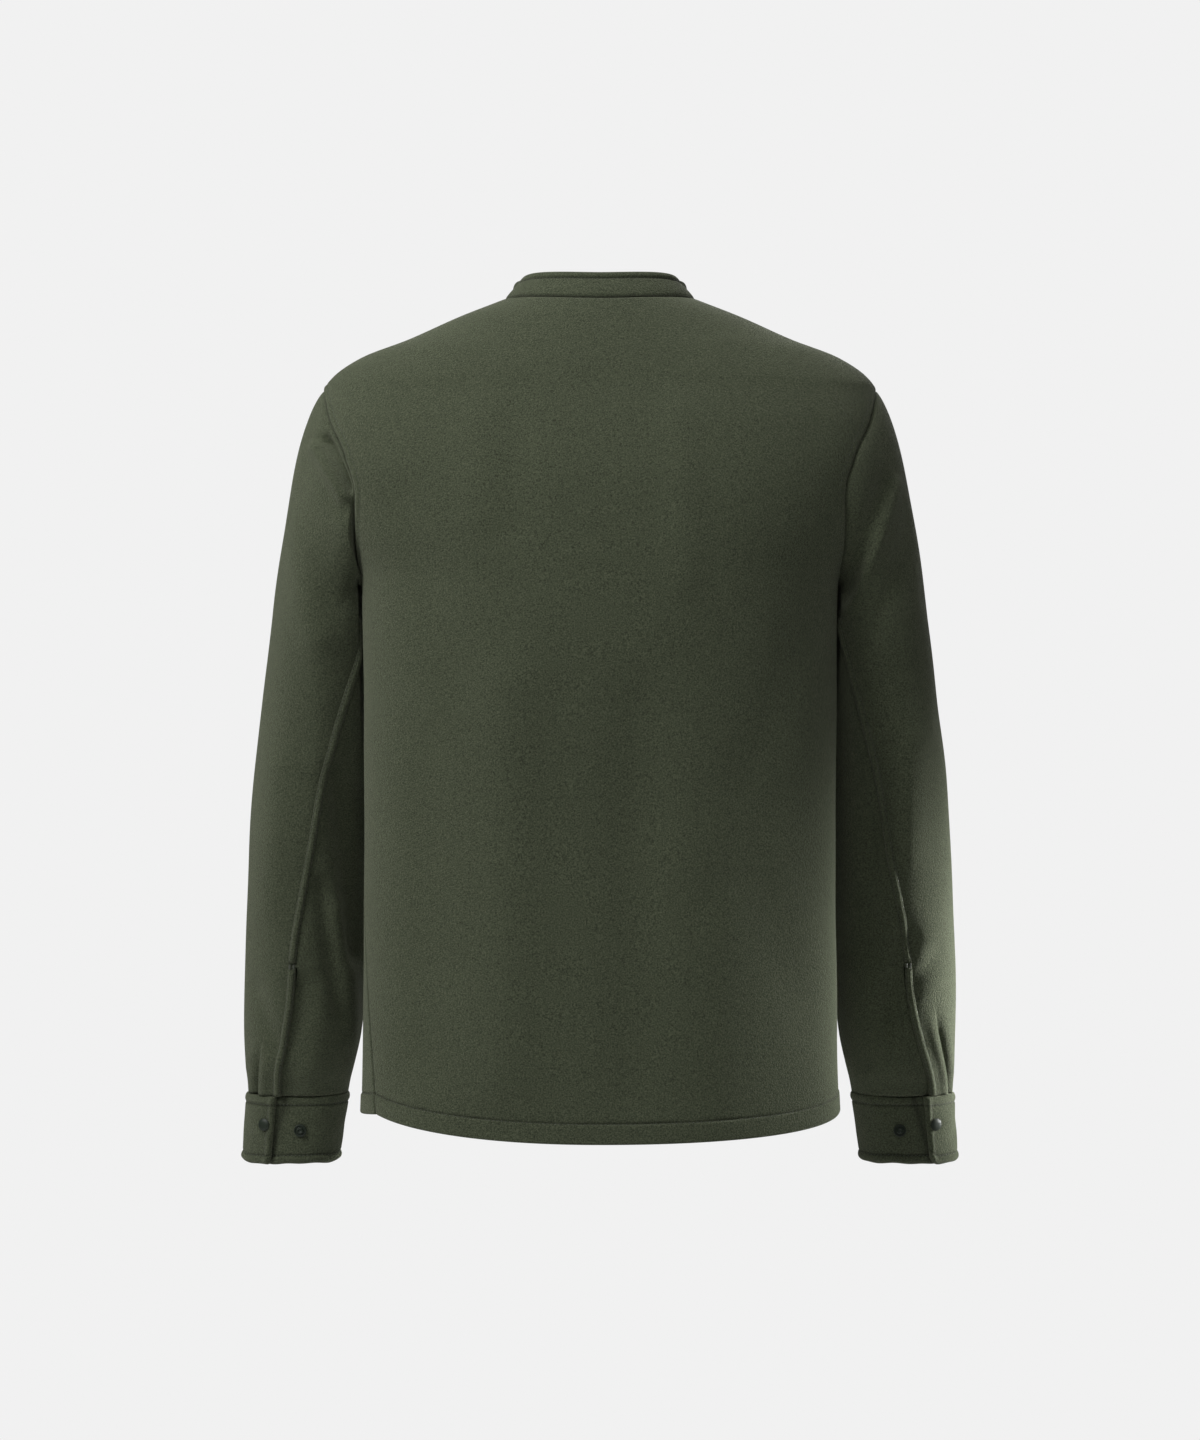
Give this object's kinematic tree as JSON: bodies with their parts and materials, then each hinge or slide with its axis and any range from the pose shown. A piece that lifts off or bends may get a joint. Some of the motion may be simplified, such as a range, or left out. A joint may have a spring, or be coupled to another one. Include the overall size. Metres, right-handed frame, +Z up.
{
  "type": "fleece jacket",
  "caption": "Dark olive fleece jacket, filled out with no wearer: stand collar, long sleeves, snap front and snap cuffs with one stud left open.",
  "frame": {"origin": "midpoint between the two side neck points, at the height of the shoulder line where the jacket rests on a wearer or a form", "axes": "+Z up, -Y the front with the snaps, +X the wearer's left sleeve"},
  "size_m": [0.6315, 0.2728, 0.7649],
  "materials": {
    "fleece": "matte short-pile microfleece",
    "snap_metal": "satin green enamel"
  },
  "bodies": {
    "root": {"back": "fleece", "front_left": "fleece", "front_right": "fleece", "front_placket": "fleece", "collar": "fleece", "sleeve_left": "fleece", "sleeve_left_welt": "fleece", "sleeve_left_binding": "fleece", "sleeve_right": "fleece", "sleeve_right_welt": "fleece", "sleeve_right_binding": "fleece", "cuff_left": "fleece", "cuff_right": "fleece", "snap_cuff_left_cap": "snap_metal", "snap_cuff_left_stud": "snap_metal", "snap_cuff_right_cap": "snap_metal", "snap_cuff_right_stud": "snap_metal", "snap_front_1": "snap_metal", "snap_front_2": "snap_metal", "snap_front_3": "snap_metal", "snap_front_4": "snap_metal", "snap_front_5": "snap_metal", "snap_front_6": "snap_metal", "snap_collar": "snap_metal"}
  },
  "joints": []
}
